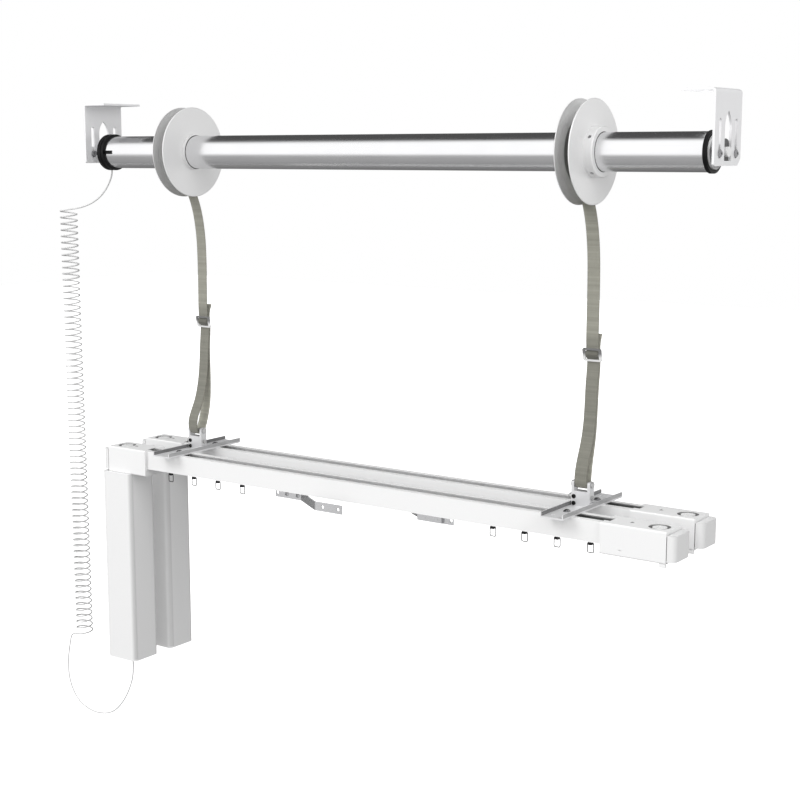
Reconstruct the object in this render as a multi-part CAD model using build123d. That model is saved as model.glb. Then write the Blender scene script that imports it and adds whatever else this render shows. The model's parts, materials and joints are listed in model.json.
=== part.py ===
from build123d import *
import math
import os

# A motorized curtain lift system. Sizes are in millimetres.
# X runs along the roller tube, Y away from the room and Z up.
# The origin is on the ceiling, at the centre of the four ceiling screws.

# Clearances
running_gap = 0.05
fixed_gap = 0.1
seat_gap = 0.3
slide_gap = 0.5

# Ceiling brackets
bracket_span = 1077
bracket_width = 79
bracket_drop = 93
bracket_flange = 46
bracket_sheet = 3
bracket_bend = 2
bracket_corner = 9
bracket_front_corner = 2
ceiling_hole_r = 2.75
ceiling_hole_spacing = 48
ceiling_hole_inset = 25
axis_drop = 76
centre_slot_width = 20
centre_slot_top = 27
centre_slot_bottom = 87
ogive_radius = 25
side_slot_width = 6.5
side_slot_top = 36
side_slot_bottom = 84
side_bolt_offset = 24
side_bolt_drop = 78

# Fasteners
bolt_r = 2.5
bolt_head_r = 5
bolt_head_height = 3
bolt_head_flat_share = 0.55
bolt_head_side_share = 0.4
bolt_end = 1
socket_across = 3
socket_depth = 1.6
nut_across = 8
nut_height = 4
small_screw_r = 1.5
small_screw_head_r = 3
small_screw_head_height = 1.8

# Roller tube and what is in it
tube_r = 25
tube_wall = 1.5
motor_end_room = 29
idler_end_room = 21.5
motor_room = 1.5
motor_length = 430
output_shaft_r = 5
output_shaft_square = 8
output_shaft_seat = 18
output_shaft_end = 2
drive_wheel_length = 20
drive_wheel_offset = 3
crown_rim = 3.5
crown_length = 13.5
crown_sleeve_length = 20
crown_groove_width = 2.4
crown_groove_depth = 0.8
key_length = 17.3
key_width = 5.4
key_height = 0.4
key_groove = 0.8
plug_rim = 1.5
plug_flange = 5
plug_recess_wall = 2.6
plug_length = 40
bush_r = 8
bush_length = 20
idler_pin_r = 6
idler_disc_room = 0.9
idler_disc_length = 7
idler_neck_r = 16
idler_boss_r = 6.2
idler_boss_length = 2
ear_reach = 31
ear_height = 18
ear_thickness = 4
head_flange = 2.5
head_r = 20
head_flat = 9
head_boss_r = 9.4
spigot_square = 10
spigot_bolt_head_r = 7.5
gland_r = 3.2
gland_length = 6
gland_stem_r = 2.2
gland_stem_length = 6
gland_y = 11

# Strap reels
reel_left_x = -350.5
reel_right_x = 346
reel_r = 68
reel_flange = 1.6
reel_hub_wall = 2.5
reel_side_room = 0.3
reel_edge = 0.7
collar_wall = 8
collar_length = 13
collar_edge = 1
short_hub_wall = 1.6
short_hub_length = 5.5
set_screw_r = 2.4
set_screw_length = 6.5
set_screw_angles = (145, 235)

# Webbing straps
strap_width = 18.5
strap_thickness = 1.5
strap_exit_rise = 5.5
strap_exit_angle = 218.5
strap_exit_run = 37.5
wound_gap = 0.5

# Strap buckles
buckle_y = 25.5
buckle_z = -342
buckle_tilt = 12
buckle_height = 18
buckle_sheet = 2
buckle_bar = 2.5
buckle_side = 4
buckle_side_room = 0.75
buckle_corner = 2.5
strap_weave_start = 1.7
strap_weave_end = 5.8
strap_weave_straight = 9.2

# Cross channels, yokes and clamps
carriage_y = 6
channel_length = 166
channel_side_room = 1
channel_height = 7.5
channel_sheet = 2
channel_hole_inset = 15
channel_hole_spacing = 15
channel_hole_length = 8
channel_hole_width = 4
yoke_depth = 12
yoke_body = 20.5
yoke_prong = 4
yoke_side_room = 0.75
yoke_prong_height = 13.5
yoke_pin_r = 3
yoke_pin_rise = 9
yoke_pin_head_r = 4.2
yoke_pin_head = 1.6
yoke_bolt_rise = 12
yoke_rounding = 3
yoke_bolt_r = 2
yoke_bolt_head_r = 3.2
yoke_bolt_head = 2
dome_nut_r = 4
dome_r = 3.2
front_screw_x = -10
front_screw_rises = (12.8, 3.6)
front_screw_depth = 3.4
clamp_nut_length = 26
clamp_nut_width = 14
clamp_nut_height = 4

# Curtain tracks
track_front_y = -36
track_rear_y = 48
track_width = 36
track_height = 29
track_top = -545.5
track_wall = 1.8
track_slot = 18
upper_chamber = 6
web_thickness = 1.6
lower_slot = 6.6

# Drive and return boxes
box_width = 46
box_rise = 1
box_drop = 11.5
box_corner = 2
drive_box_length = 81.5
drive_box_end = -404
return_box_length = 93.5
return_box_end = 406.5
track_insert = 20
track_fit = 0.2
sleeve_notch = 8
chamber_r = 13.4
drive_pulley_inset = 20
return_pulley_inset = 20
port_r = 14.5
drive_mark_inset = 41
return_mark_inset = 58.5
mark_side = 7
mark_depth = 2
recess_inset = 64
recess_rise = 8.6
recess_length = 4
recess_width = 1.6
cap_length = 12.5
cap_groove = 1.2
cap_groove_depth = 1.5
cap_top_step = 4.5
cap_bottom_step = 3
cap_corner = 8
tab_width = 9
tab_drop = 5
tab_thickness = 3
tab_inset = 0.5

# Belts and pulleys
belt_r = 11
belt_thickness = 1.5
belt_height = 8
belt_clearance = 1.1
pulley_flange = 1
pulley_flange_r = 12.4
pulley_boss_r = 9.5
pulley_boss_step = 0.6
pulley_socket = 6
pulley_shaft_r = 4
drive_shaft_length = 34
return_stub_length = 14
shaft_end_room = 1

# Curtain motors
curtain_motor_inset = 19.3
curtain_motor_width = 62
curtain_motor_depth = 56
curtain_motor_length = 312.5
curtain_motor_corner = 8
curtain_motor_wall = 2
motor_cap = 3
motor_cap_spigot = 4
gearmotor_width = 40
gearmotor_depth = 34
gearmotor_length = 210
gearmotor_boss_r = 11
cord_gland_offset = -1
cord_gland_r = 4
cord_gland_length = 12

# Gliders
glider_pitch = 50
glider_first_left = 220
glider_first_right = 232
glider_count = 4
glider_length = 10
runner_width = 16
runner_height = 6
neck_width = 5
neck_length = 5
neck_drop = 8.5
eye_wire_r = 0.6
eye_width = 9.2
eye_height = 13.2
eye_corner = 1.9
eye_drop = 5.7

# Master carriers and their arms
arm_left_end = -152
arm_right_end = 167
arm_height = 13
arm_step = 0.7
arm_thickness = 2
arm_inner = 50
arm_jog = 55
arm_offset = 37
arm_outer = 49
arm_bend = 3
arm_hole_r = 2.6
arm_holes = (3.8, 119, 147)
tongue_start = 17
tongue_end = 58
tongue_thickness = 4
tongue_height = 12
carrier_length = 44
carrier_clamp = 10.7
carrier_clamp_rise = 3
arm_screws = (22, 43)

# Curly cord
cord_r = 1.2
coil_r = 13.3
coil_turns = 70
coil_top = (-624.5, 0, -171)
coil_bottom = (-620.5, 0, -898)
lead_straight = 18
points_per_turn = 24

# Derived places
half_span = bracket_span / 2
plate_inner = half_span - bracket_sheet
axis_z = -axis_drop
tube_left = motor_end_room - half_span
tube_right = half_span - idler_end_room
tube_inner_r = tube_r - tube_wall
motor_r = tube_inner_r - motor_room
crown_r = tube_r + crown_rim
plug_r = tube_r + plug_rim
plug_recess_r = tube_r - plug_recess_wall
idler_disc_r = plug_recess_r - idler_disc_room
reel_hub_r = tube_r + reel_hub_wall
short_hub_r = tube_r + short_hub_wall
collar_r = tube_r + collar_wall
reel_gap = strap_width + 2 * reel_side_room
strap_exit_r = reel_hub_r + strap_exit_rise
strap_weave = (buckle_sheet + strap_thickness) / 2 + seat_gap
buckle_width = strap_width + 2 * (buckle_side_room + buckle_side)
yoke_width = strap_width + 2 * (yoke_side_room + yoke_prong)
channel_width = yoke_width + 2 * (channel_side_room + channel_sheet)
crown_left = tube_left - crown_length
head_flange_left = crown_left - seat_gap - head_flange
motor_left = crown_left - seat_gap
motor_right = motor_left + motor_length
track_bottom = track_top - track_height
chamber_top = track_top - track_wall - upper_chamber - web_thickness
chamber_bottom = track_bottom + track_wall
box_top = track_top + box_rise
box_bottom = track_bottom - box_drop
cap_top = box_top - cap_top_step
cap_bottom = box_bottom + cap_bottom_step
drive_box_seam = drive_box_end - drive_box_length
return_box_seam = return_box_end + return_box_length
drive_pulley_x = drive_box_seam + drive_pulley_inset
return_pulley_x = return_box_seam - return_pulley_inset
belt_z = chamber_top - belt_height / 2 - pulley_flange - belt_clearance
pulley_boss_top = box_top - pulley_boss_step
neck_bottom = track_bottom - neck_drop
arm_top = track_bottom - arm_step
carrier_clamp_top = belt_z + carrier_clamp_rise
channel_floor = track_top + channel_sheet
window_z = channel_floor + yoke_body
lower_bolt_depth = yoke_bolt_rise - yoke_bolt_r - channel_sheet
pin_z = window_z + yoke_pin_rise
track_ys = (track_front_y, track_rear_y)
reel_xs = (reel_left_x, reel_right_x)
motor_shell_top = box_bottom
curtain_motor_bottom = motor_shell_top - curtain_motor_length
curtain_motor_x = drive_box_seam + curtain_motor_inset
cord_gland_x = curtain_motor_x + cord_gland_offset


def block(x0, x1, y0, y1, z0, z1):
    """A box between two opposite corners."""
    centre = Pos((x0 + x1) / 2, (y0 + y1) / 2, (z0 + z1) / 2)
    return centre * Box(abs(x1 - x0), abs(y1 - y0), abs(z1 - z0))


def rod_x(radius, x0, x1, y=0, z=axis_z):
    return Pos((x0 + x1) / 2, y, z) * Rot(0, 90, 0) * Cylinder(radius, abs(x1 - x0))


def rod_y(radius, y0, y1, x, z):
    return Pos(x, (y0 + y1) / 2, z) * Rot(90, 0, 0) * Cylinder(radius, abs(y1 - y0))


def rod_z(radius, z0, z1, x, y):
    return Pos(x, y, (z0 + z1) / 2) * Cylinder(radius, abs(z1 - z0))


def save(name, *shapes):
    """Write one node, whose pieces stay separate solids."""
    solids = [solid for shape in shapes for solid in shape.solids()]
    whole = solids[0] if len(solids) == 1 else Compound(children=solids)
    export_step(whole, os.path.join("parts", name + ".step"))


def flip(shape):
    """The same piece at the other end of the tube."""
    return mirror(shape, about=Plane.YZ)


def hexagon(across):
    """A hexagon of the given width across its flats."""
    return RegularPolygon(across / math.sqrt(3), 6)


def button_bolt(x, y, z, direction, length, radius=bolt_r, head_r=bolt_head_r, head=bolt_head_height):
    """A bolt with a domed socket head whose underside is at the given point."""
    plane = Plane(origin=(x, y, z), z_dir=direction)
    profile = Polyline(
        (0, head), (head_r * bolt_head_flat_share, head), (head_r, head * bolt_head_side_share),
        (head_r, 0), (0, 0), close=True)
    head_solid = revolve(Plane.XZ * make_face(profile), Axis.Z)
    socket = Pos(0, 0, head) * extrude(hexagon(socket_across), amount=-socket_depth)
    shank = Pos(0, 0, -length / 2) * Cylinder(radius, length)
    return plane * (head_solid + shank - socket)


def hex_nut(x, y, z, direction, across=nut_across, height=nut_height, hole_r=bolt_r + fixed_gap):
    plane = Plane(origin=(x, y, z), z_dir=direction)
    outline = hexagon(across) - Circle(hole_r)
    return plane * extrude(outline, amount=height)


# Curves for the straps and the cord

def turn_radii(points, share=0.45):
    """The largest arc that each corner of a route takes, from the shorter of its two runs."""
    radii = []
    for before, corner, after in zip(points, points[1:], points[2:]):
        run_in = Vector(corner) - Vector(before)
        run_out = Vector(after) - Vector(corner)
        half_turn = math.radians(run_in.get_angle(run_out)) / 2
        radii.append(share * min(run_in.length, run_out.length) / math.tan(half_turn))
    return radii


def beside(points, radii, shift):
    """A route moved sideways in its plane by a fixed distance, with the radii that go with it."""
    runs = [(Vector(b) - Vector(a)).normalized() for a, b in zip(points, points[1:])]
    sides = [Vector(-run.Y, run.X) for run in runs]
    moved = [Vector(points[0]) + sides[0] * shift]
    moved_radii = []
    for point, side_in, side_out, run_in, run_out, radius in zip(
            points[1:-1], sides, sides[1:], runs, runs[1:], radii):
        corner = (side_in + side_out) * (shift / (1 + side_in.dot(side_out)))
        moved.append(Vector(point) + corner)
        turn = run_in.X * run_out.Y - run_in.Y * run_out.X
        moved_radii.append(radius - shift * math.copysign(1, turn))
    moved.append(Vector(points[-1]) + sides[-1] * shift)
    return moved, moved_radii


def ribbon(points, x, share=0.45):
    """A strap drawn by its centre line in the side view, as (Y, Z) points."""
    radii = turn_radii(points, share)
    half = strap_thickness / 2
    left, left_radii = beside(points, radii, half)
    right, right_radii = beside(points, radii, -half)
    near = FilletPolyline(*left, radius=left_radii)
    far = FilletPolyline(*right, radius=right_radii)
    ends = [Line(left[0], right[0]), Line(left[-1], right[-1])]
    outline = make_face(near.edges() + far.edges() + ends)
    return extrude(Plane.YZ.offset(x - strap_width / 2) * outline, amount=strap_width)


def route_wire(points):
    """Straight runs with an arc at each corner, and the radii of the arcs."""
    radii = turn_radii(points)
    return FilletPolyline(*points, radius=radii), radii


def biarc(start, start_tangent, end, end_tangent):
    """Two arcs that meet smoothly between two points with given directions."""
    chord = end - start
    both = start_tangent + end_tangent
    spread = 2 * (1 - start_tangent.dot(end_tangent))
    along = chord.dot(both)
    reach = (-along + math.sqrt(along ** 2 + spread * chord.dot(chord))) / spread
    near = start + start_tangent * reach
    far = end - end_tangent * reach
    middle = (near + far) * 0.5
    first = Edge.make_tangent_arc(start, start_tangent, middle)
    second = Edge.make_tangent_arc(middle, (far - near).normalized(), end)
    return [first, second]


# Ceiling brackets

def bracket_right():
    outline = make_face(Polyline(
        (half_span, -bracket_drop), (half_span, 0), (half_span - bracket_flange, 0),
        (half_span - bracket_flange, -bracket_sheet), (plate_inner, -bracket_sheet),
        (plate_inner, -bracket_drop), close=True))
    corners = outline.vertices()
    outline = fillet(corners.sort_by_distance((half_span, 0))[0], bracket_bend + bracket_sheet)
    inner_corner = outline.vertices().sort_by_distance((plate_inner, -bracket_sheet))[0]
    outline = fillet(inner_corner, bracket_bend)
    bracket = extrude(Plane.XZ * outline, amount=bracket_width / 2, both=True)
    front_edge, back_edge = bracket.edges().filter_by(Axis.X).sort_by(Axis.Z)[:2].sort_by(Axis.Y)
    bracket = chamfer(back_edge, bracket_corner)
    front_edge = bracket.edges().filter_by(Axis.X).sort_by_distance(front_edge.center())[0]
    bracket = chamfer(front_edge, bracket_front_corner)
    bracket -= centre_slot()
    slot_length = side_slot_bottom - side_slot_top
    slot_z = -(side_slot_bottom + side_slot_top) / 2
    for side in (-1, 1):
        slot = Pos(side * side_bolt_offset, slot_z) * SlotOverall(slot_length, side_slot_width, rotation=90)
        bracket -= extrude(Plane.YZ.offset(half_span) * slot, amount=-bracket_flange / 2)
        hole_y = side * ceiling_hole_spacing / 2
        bracket -= rod_z(ceiling_hole_r, -bracket_sheet, 0, half_span - ceiling_hole_inset, hole_y)
    return bracket


def centre_slot():
    """The middle slot of a bracket, with a pointed top made of two arcs."""
    half = centre_slot_width / 2
    rise = math.sqrt(ogive_radius ** 2 - (ogive_radius - half) ** 2)
    spring = -centre_slot_top - rise
    half_angle = math.acos((ogive_radius - half) / ogive_radius) / 2
    bulge_y = half - ogive_radius + ogive_radius * math.cos(half_angle)
    bulge_z = spring + ogive_radius * math.sin(half_angle)
    tip = (0, -centre_slot_top)
    outline = make_face([
        Line((-half, -centre_slot_bottom), (half, -centre_slot_bottom)),
        Line((half, -centre_slot_bottom), (half, spring)),
        ThreePointArc((half, spring), (bulge_y, bulge_z), tip),
        ThreePointArc(tip, (-bulge_y, bulge_z), (-half, spring)),
        Line((-half, spring), (-half, -centre_slot_bottom))])
    return extrude(Plane.YZ.offset(half_span + bracket_sheet) * outline, amount=-bracket_flange / 2)


def bracket_screws():
    """The side bolts of both brackets, the nuts on the left and the bolt of the motor head."""
    pieces = []
    left_length = 2 * bracket_sheet + nut_height + bolt_end
    right_length = bracket_sheet + ear_thickness + bolt_end
    for side in (-1, 1):
        y = side * side_bolt_offset
        pieces.append(button_bolt(-half_span - bracket_sheet, y, -side_bolt_drop, (-1, 0, 0), left_length))
        pieces.append(hex_nut(-plate_inner, y, -side_bolt_drop, (1, 0, 0)))
        pieces.append(button_bolt(half_span, y, -side_bolt_drop, (1, 0, 0), right_length))
    pieces.append(button_bolt(-half_span - bracket_sheet, 0, axis_z, (-1, 0, 0), spigot_square,
                              head_r=spigot_bolt_head_r))
    return pieces


# Fixed ends of the roller

def lift_motor_head():
    """The motor's fixed head, which passes through the bracket to a bar behind it."""
    flange = rod_x(tube_r, head_flange_left, motor_left)
    housing = rod_x(head_r, -plate_inner, head_flange_left)
    room = block(-half_span, head_flange_left, -head_flat, head_r * 2, axis_z - head_r, axis_z + head_r)
    boss = rod_x(head_boss_r, -half_span, -plate_inner)
    half = spigot_square / 2
    spigot = block(-half_span - bracket_sheet, -half_span, -half, half, axis_z - half, axis_z + half)
    head = flange + (housing & room) + boss + spigot
    head -= rod_x(bolt_r + fixed_gap, -half_span - bracket_sheet, -half_span + spigot_square)
    head -= rod_z(gland_stem_r + fixed_gap, axis_z - head_r, axis_z, head_gland_x(), gland_y)
    return head, head_bar()


def head_bar():
    half = spigot_square / 2 + fixed_gap
    bar = block(-half_span - bracket_sheet, -half_span, -ear_reach, ear_reach,
                axis_z - ear_height / 2, axis_z + ear_height / 2)
    bar = fillet(bar.edges().filter_by(Axis.X), ear_height / 4)
    bar -= block(-half_span - bracket_sheet, -half_span, -half, half, axis_z - half, axis_z + half)
    for side in (-1, 1):
        bar -= rod_x(bolt_r + fixed_gap, -half_span - bracket_sheet, -half_span,
                     side * side_bolt_offset, -side_bolt_drop)
    return bar


def head_gland_x():
    return (head_flange_left - plate_inner) / 2


def head_gland_top():
    """Where the underside of the head's round housing is, over the gland."""
    return axis_z - math.sqrt(head_r ** 2 - gland_y ** 2)


def head_cord_gland():
    x = head_gland_x()
    top = head_gland_top()
    collar_top = top - gland_r
    body = rod_z(gland_r, collar_top - gland_length, collar_top, x, gland_y)
    stem = rod_z(gland_stem_r, collar_top, top + gland_stem_length, x, gland_y)
    return body + stem


def lift_motor_tube():
    motor = rod_x(motor_r, motor_left, motor_right)
    bore_left = motor_right - output_shaft_seat - shaft_end_room
    return motor - rod_x(output_shaft_r + running_gap, bore_left, motor_right)


def idler_holder():
    """The fixed holder at the right bracket, with its pin in the tube's plug."""
    disc_left = tube_right + seat_gap
    ear_left = plate_inner - ear_thickness
    pin = rod_x(idler_pin_r, tube_right - bush_length, disc_left)
    disc = rod_x(idler_disc_r, disc_left, disc_left + idler_disc_length)
    neck = rod_x(idler_neck_r, disc_left, plate_inner)
    ears = block(ear_left, plate_inner, -ear_reach, ear_reach,
                 axis_z - ear_height / 2, axis_z + ear_height / 2)
    ears = fillet(ears.edges().filter_by(Axis.X), ear_height / 4)
    boss = rod_x(idler_boss_r, plate_inner, half_span + idler_boss_length)
    holder = pin + disc + neck + ears + boss
    for side in (-1, 1):
        y = side * side_bolt_offset
        holder -= rod_x(bolt_r + fixed_gap, ear_left, plate_inner, y, -side_bolt_drop)
    return holder


# Roller

def roller_tube():
    tube = rod_x(tube_r, tube_left, tube_right) - rod_x(tube_inner_r, tube_left, tube_right)
    half = key_width / 2 + fixed_gap
    notch = block(tube_left, tube_left + key_length + fixed_gap, -tube_r - 1, -tube_r / 2,
                  axis_z - half, axis_z + half)
    return tube - notch


def crown_ring():
    """The black ring that the tube turns on, with a key in the tube's notch."""
    sleeve_r = tube_inner_r - fixed_gap
    ring = rod_x(crown_r, crown_left, tube_left)
    groove_x = (crown_left + tube_left) / 2
    groove_end = groove_x + crown_groove_width
    groove = rod_x(crown_r, groove_x, groove_end)
    groove -= rod_x(crown_r - crown_groove_depth, groove_x, groove_end)
    sleeve = rod_x(sleeve_r, tube_left, tube_left + crown_sleeve_length)
    half = key_width / 2
    key = block(tube_left, tube_left + key_length, -tube_r - key_height, -sleeve_r + 1,
                axis_z - half, axis_z + half)
    half_groove = key_groove / 2
    key -= block(tube_left, tube_left + key_length, -tube_r - key_height, -tube_r + key_height,
                 axis_z - half_groove, axis_z + half_groove)
    bore = rod_x(motor_r + running_gap, crown_left, tube_left + crown_sleeve_length)
    return ring - groove + sleeve + key - bore


def drive_wheel():
    """The wheel that turns the tube, on the motor's square output shaft."""
    wheel_left = motor_right + drive_wheel_offset
    wheel_right = wheel_left + drive_wheel_length
    half = output_shaft_square / 2
    hole = half + fixed_gap
    wheel = rod_x(tube_inner_r - fixed_gap, wheel_left, wheel_right)
    wheel -= block(wheel_left, wheel_right, -hole, hole, axis_z - hole, axis_z + hole)
    shaft_end = wheel_right + output_shaft_end
    square_start = motor_right + drive_wheel_offset / 2
    round_part = rod_x(output_shaft_r, motor_right - output_shaft_seat, square_start)
    square_part = block(square_start, shaft_end, -half, half, axis_z - half, axis_z + half)
    return wheel, round_part + (square_part & rod_x(output_shaft_r, motor_right, shaft_end))


def end_plug():
    ring_right = tube_right + plug_flange
    ring = rod_x(plug_r, tube_right, ring_right) - rod_x(plug_recess_r, tube_right, ring_right)
    sleeve = rod_x(tube_inner_r - fixed_gap, tube_right - plug_length, tube_right)
    bore = rod_x(bush_r + fixed_gap, tube_right - plug_length, tube_right)
    return ring + sleeve - bore


def idler_bearing():
    bush = rod_x(bush_r, tube_right - bush_length, tube_right)
    return bush - rod_x(idler_pin_r + running_gap, tube_right - bush_length, tube_right)


def reel_profile():
    """Half of a reel's section, as (X from the strap's centre plane, radius) points."""
    half = reel_gap / 2
    rim = half + reel_flange
    bore = tube_r + fixed_gap
    return [
        (-rim - short_hub_length, bore), (-rim - short_hub_length, short_hub_r), (-rim, short_hub_r),
        (-rim, reel_r - reel_edge), (-rim + reel_edge, reel_r), (-half, reel_r),
        (-half, reel_hub_r), (half, reel_hub_r), (half, reel_r), (rim - reel_edge, reel_r),
        (rim, reel_r - reel_edge), (rim, collar_r),
        (rim + collar_length - collar_edge, collar_r), (rim + collar_length, collar_r - collar_edge),
        (rim + collar_length, bore)]


def strap_reel_right():
    """A reel about the tube, its collar drilled for two set screws."""
    outline = make_face(Polyline(*reel_profile(), close=True))
    reel = Pos(0, 0, axis_z) * revolve(Plane.XZ * outline, Axis.X)
    screw_x = reel_gap / 2 + reel_flange + collar_length / 2
    for angle in set_screw_angles:
        hole = Cylinder(set_screw_r + fixed_gap, collar_r, align=(Align.CENTER, Align.CENTER, Align.MIN))
        reel -= Pos(screw_x, 0, axis_z) * Rot(angle - 90, 0, 0) * hole
    return reel


def set_screws():
    """The two screws of one collar, which press on the tube."""
    screw_x = reel_gap / 2 + reel_flange + collar_length / 2
    socket = extrude(hexagon(socket_across / 2), amount=-socket_depth)
    screws = []
    for angle in set_screw_angles:
        top = tube_r + fixed_gap + set_screw_length
        screw = Pos(0, 0, top - set_screw_length / 2) * Cylinder(set_screw_r, set_screw_length)
        screw -= Pos(0, 0, top) * socket
        screws.append(Pos(screw_x, 0, axis_z) * Rot(angle - 90, 0, 0) * screw)
    return screws


def place_reel(shapes, x):
    """Reels mirror each other: their collars are on the outer sides."""
    if x < 0:
        return [Pos(x, 0, 0) * flip(shape) for shape in shapes]
    return [Pos(x, 0, 0) * shape for shape in shapes]


# Webbing

def wound_radii():
    """The centre line radii of the outer turn at the exit, half a turn on and a whole turn on."""
    step = (strap_thickness + wound_gap) / 2
    return strap_exit_r, strap_exit_r - step, strap_exit_r - 2 * step


def wound_strap(x):
    """The outer turn of webbing on a reel, over a plain ring for the layers below it."""
    radii = wound_radii()
    angle = math.radians(strap_exit_angle)
    outward = Vector(math.cos(angle), math.sin(angle))
    half = strap_thickness / 2
    axis = Vector(0, axis_z)
    edges = []
    ends = []
    for shift in (-half, half):
        turns = [radius + shift for radius in radii]
        start = axis + outward * turns[0]
        opposite = axis - outward * turns[1]
        end = axis + outward * turns[2]
        around = Vector(outward.Y, -outward.X)
        edges.append(Edge.make_tangent_arc(start, around, opposite))
        edges.append(Edge.make_tangent_arc(opposite, around * -1, end))
        ends.append((start, end))
    edges.append(Edge.make_line(ends[0][0], ends[1][0]))
    edges.append(Edge.make_line(ends[0][1], ends[1][1]))
    left = Plane.YZ.offset(x - strap_width / 2)
    turn = extrude(left * make_face(edges), amount=strap_width)
    core_outer = radii[2] - half - seat_gap
    core_inner = reel_hub_r + fixed_gap
    core = rod_x(core_outer, x - strap_width / 2, x + strap_width / 2)
    core -= rod_x(core_inner, x - strap_width / 2, x + strap_width / 2)
    return turn, core


def wound_points(steps=45):
    """Points on the centre line of the outer turn, as two half circles about shifted centres."""
    radii = wound_radii()
    points = []
    for start, end, side in ((radii[0], radii[1], 1), (radii[1], radii[2], -1)):
        radius = (start + end) / 2
        centre = side * (start - end) / 2
        for step in range(steps + 1):
            angle = math.pi * step / steps
            points.append((centre + side * radius * math.cos(angle), side * radius * math.sin(angle)))
    return points


def buckle_point(down, back):
    """A (Y, Z) point at a buckle, from its middle: down along its face and back from it."""
    tilt = math.radians(buckle_tilt)
    y = buckle_y + down * math.sin(tilt) + back * math.cos(tilt)
    z = buckle_z - down * math.cos(tilt) + back * math.sin(tilt)
    return y, z


def strap_exit(run=0):
    """A (Y, Z) point on the line by which a strap leaves its reel, that far along it."""
    angle = math.radians(strap_exit_angle)
    y = strap_exit_r * math.cos(angle) - run * math.sin(angle)
    z = axis_z + strap_exit_r * math.sin(angle) + run * math.cos(angle)
    return y, z


def strap_upper(x):
    """The webbing from the reel to the middle bar of its buckle."""
    route = [
        strap_exit(), strap_exit(strap_exit_run), (8.8, -145), (16.5, -166), (21, -186), (24.6, -213),
        (25.6, -250), (25.2, -290), (24.8, -318),
        buckle_point(-strap_weave_straight, strap_weave), buckle_point(-strap_weave_end, strap_weave),
        buckle_point(-strap_weave_start, -strap_weave), buckle_point(0, -strap_weave)]
    return ribbon(route, x)


# The doubled webbing below each buckle, front leg down, round the yoke's pin and up to a free end
loop_left = [
    (28.6, -362), (26.2, -384), (24.6, -410), (20.6, -438), (13.4, -463), (5.2, -478.5),
    (-2, -492), (-4.4, -503.5), (-2.4, -513.5), (3.4, -519.7), (11.6, -518.1), (17.6, -507.5),
    (23, -492), (27.2, -475.5), (29.2, -458), (30, -434), (29.6, -404), (29.4, -380),
    (31.4, -360), (31.8, -346), (30, -334), (32, -322), (37, -312.5)]
loop_right = [
    (28.6, -362), (25.6, -384), (24.2, -410), (22, -434), (16.6, -456), (9, -474),
    (2.4, -490), (-0.4, -504.5), (0.4, -514.3), (5.9, -520.3), (11.5, -514.5), (12.8, -505),
    (14.6, -490.5), (18.4, -474), (22.6, -456), (25.6, -434), (27, -410), (28.6, -384),
    (31.4, -362), (31.8, -346), (30, -334), (32, -322), (37, -312.5)]


def lower_strap(x, loop):
    start = [
        buckle_point(0, -strap_weave), buckle_point(strap_weave_start, -strap_weave),
        buckle_point(strap_weave_end, strap_weave), buckle_point(strap_weave_straight, strap_weave)]
    return ribbon(start + loop, x)


def buckle(x):
    """A flat frame with two slots, tilted as the webbing pulls it."""
    y, z = buckle_point(0, 0)
    tilt = math.radians(buckle_tilt)
    plane = Plane(origin=(x, y, z), x_dir=(1, 0, 0), z_dir=(0, math.cos(tilt), math.sin(tilt)))
    slot_height = (buckle_height - 3 * buckle_bar) / 2
    slot_width = buckle_width - 2 * buckle_side
    frame = RectangleRounded(buckle_width, buckle_height, buckle_corner)
    for side in (-1, 1):
        offset = side * (buckle_bar + slot_height) / 2
        frame -= Pos(0, offset) * Rectangle(slot_width, slot_height)
    return plane * extrude(frame, amount=buckle_sheet / 2, both=True)


# Cross channels, yokes and clamps

def cross_channel(x):
    half = channel_width / 2
    y0 = carriage_y - channel_length / 2
    y1 = carriage_y + channel_length / 2
    channel = block(x - half, x + half, y0, y1, track_top, track_top + channel_height)
    inner = half - channel_sheet
    channel -= block(x - inner, x + inner, y0, y1, channel_floor, track_top + channel_height)
    for y in (y0 + channel_hole_inset, y1 - channel_hole_inset):
        for side in (-1, 1):
            outline = SlotOverall(channel_hole_length, channel_hole_width, rotation=90)
            hole = extrude(outline, amount=channel_sheet, both=True)
            channel -= Pos(x + side * channel_hole_spacing / 2, y, track_top + channel_sheet / 2) * hole
    for y in track_ys:
        channel -= rod_z(bolt_r + fixed_gap, track_top, channel_floor, x, y)
    channel -= rod_z(bolt_r + fixed_gap, track_top, channel_floor, x, carriage_y)
    return channel


def yoke(x):
    """A block with two prongs that hold the strap's pin."""
    half = yoke_width / 2
    y0 = carriage_y - yoke_depth / 2
    y1 = carriage_y + yoke_depth / 2
    body = block(x - half, x + half, y0, y1, channel_floor, window_z + yoke_prong_height)
    gap = half - yoke_prong
    body -= block(x - gap, x + gap, y0, y1, window_z, window_z + yoke_prong_height)
    top_edges = body.edges().filter_by(Axis.X).group_by(Axis.Z)[-1]
    body = fillet(top_edges, yoke_rounding)
    body -= rod_x(yoke_pin_r + fixed_gap, x - half, x + half, carriage_y, pin_z)
    body -= rod_x(yoke_bolt_r + fixed_gap, x - half, x + half, carriage_y, channel_floor + yoke_bolt_rise)
    body -= rod_z(bolt_r + fixed_gap, channel_floor, channel_floor + lower_bolt_depth, x, carriage_y)
    for rise in front_screw_rises:
        screw_z = channel_floor + rise
        body -= rod_y(small_screw_r + fixed_gap, y0, y0 + front_screw_depth, x + front_screw_x, screw_z)
    return body


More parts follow.
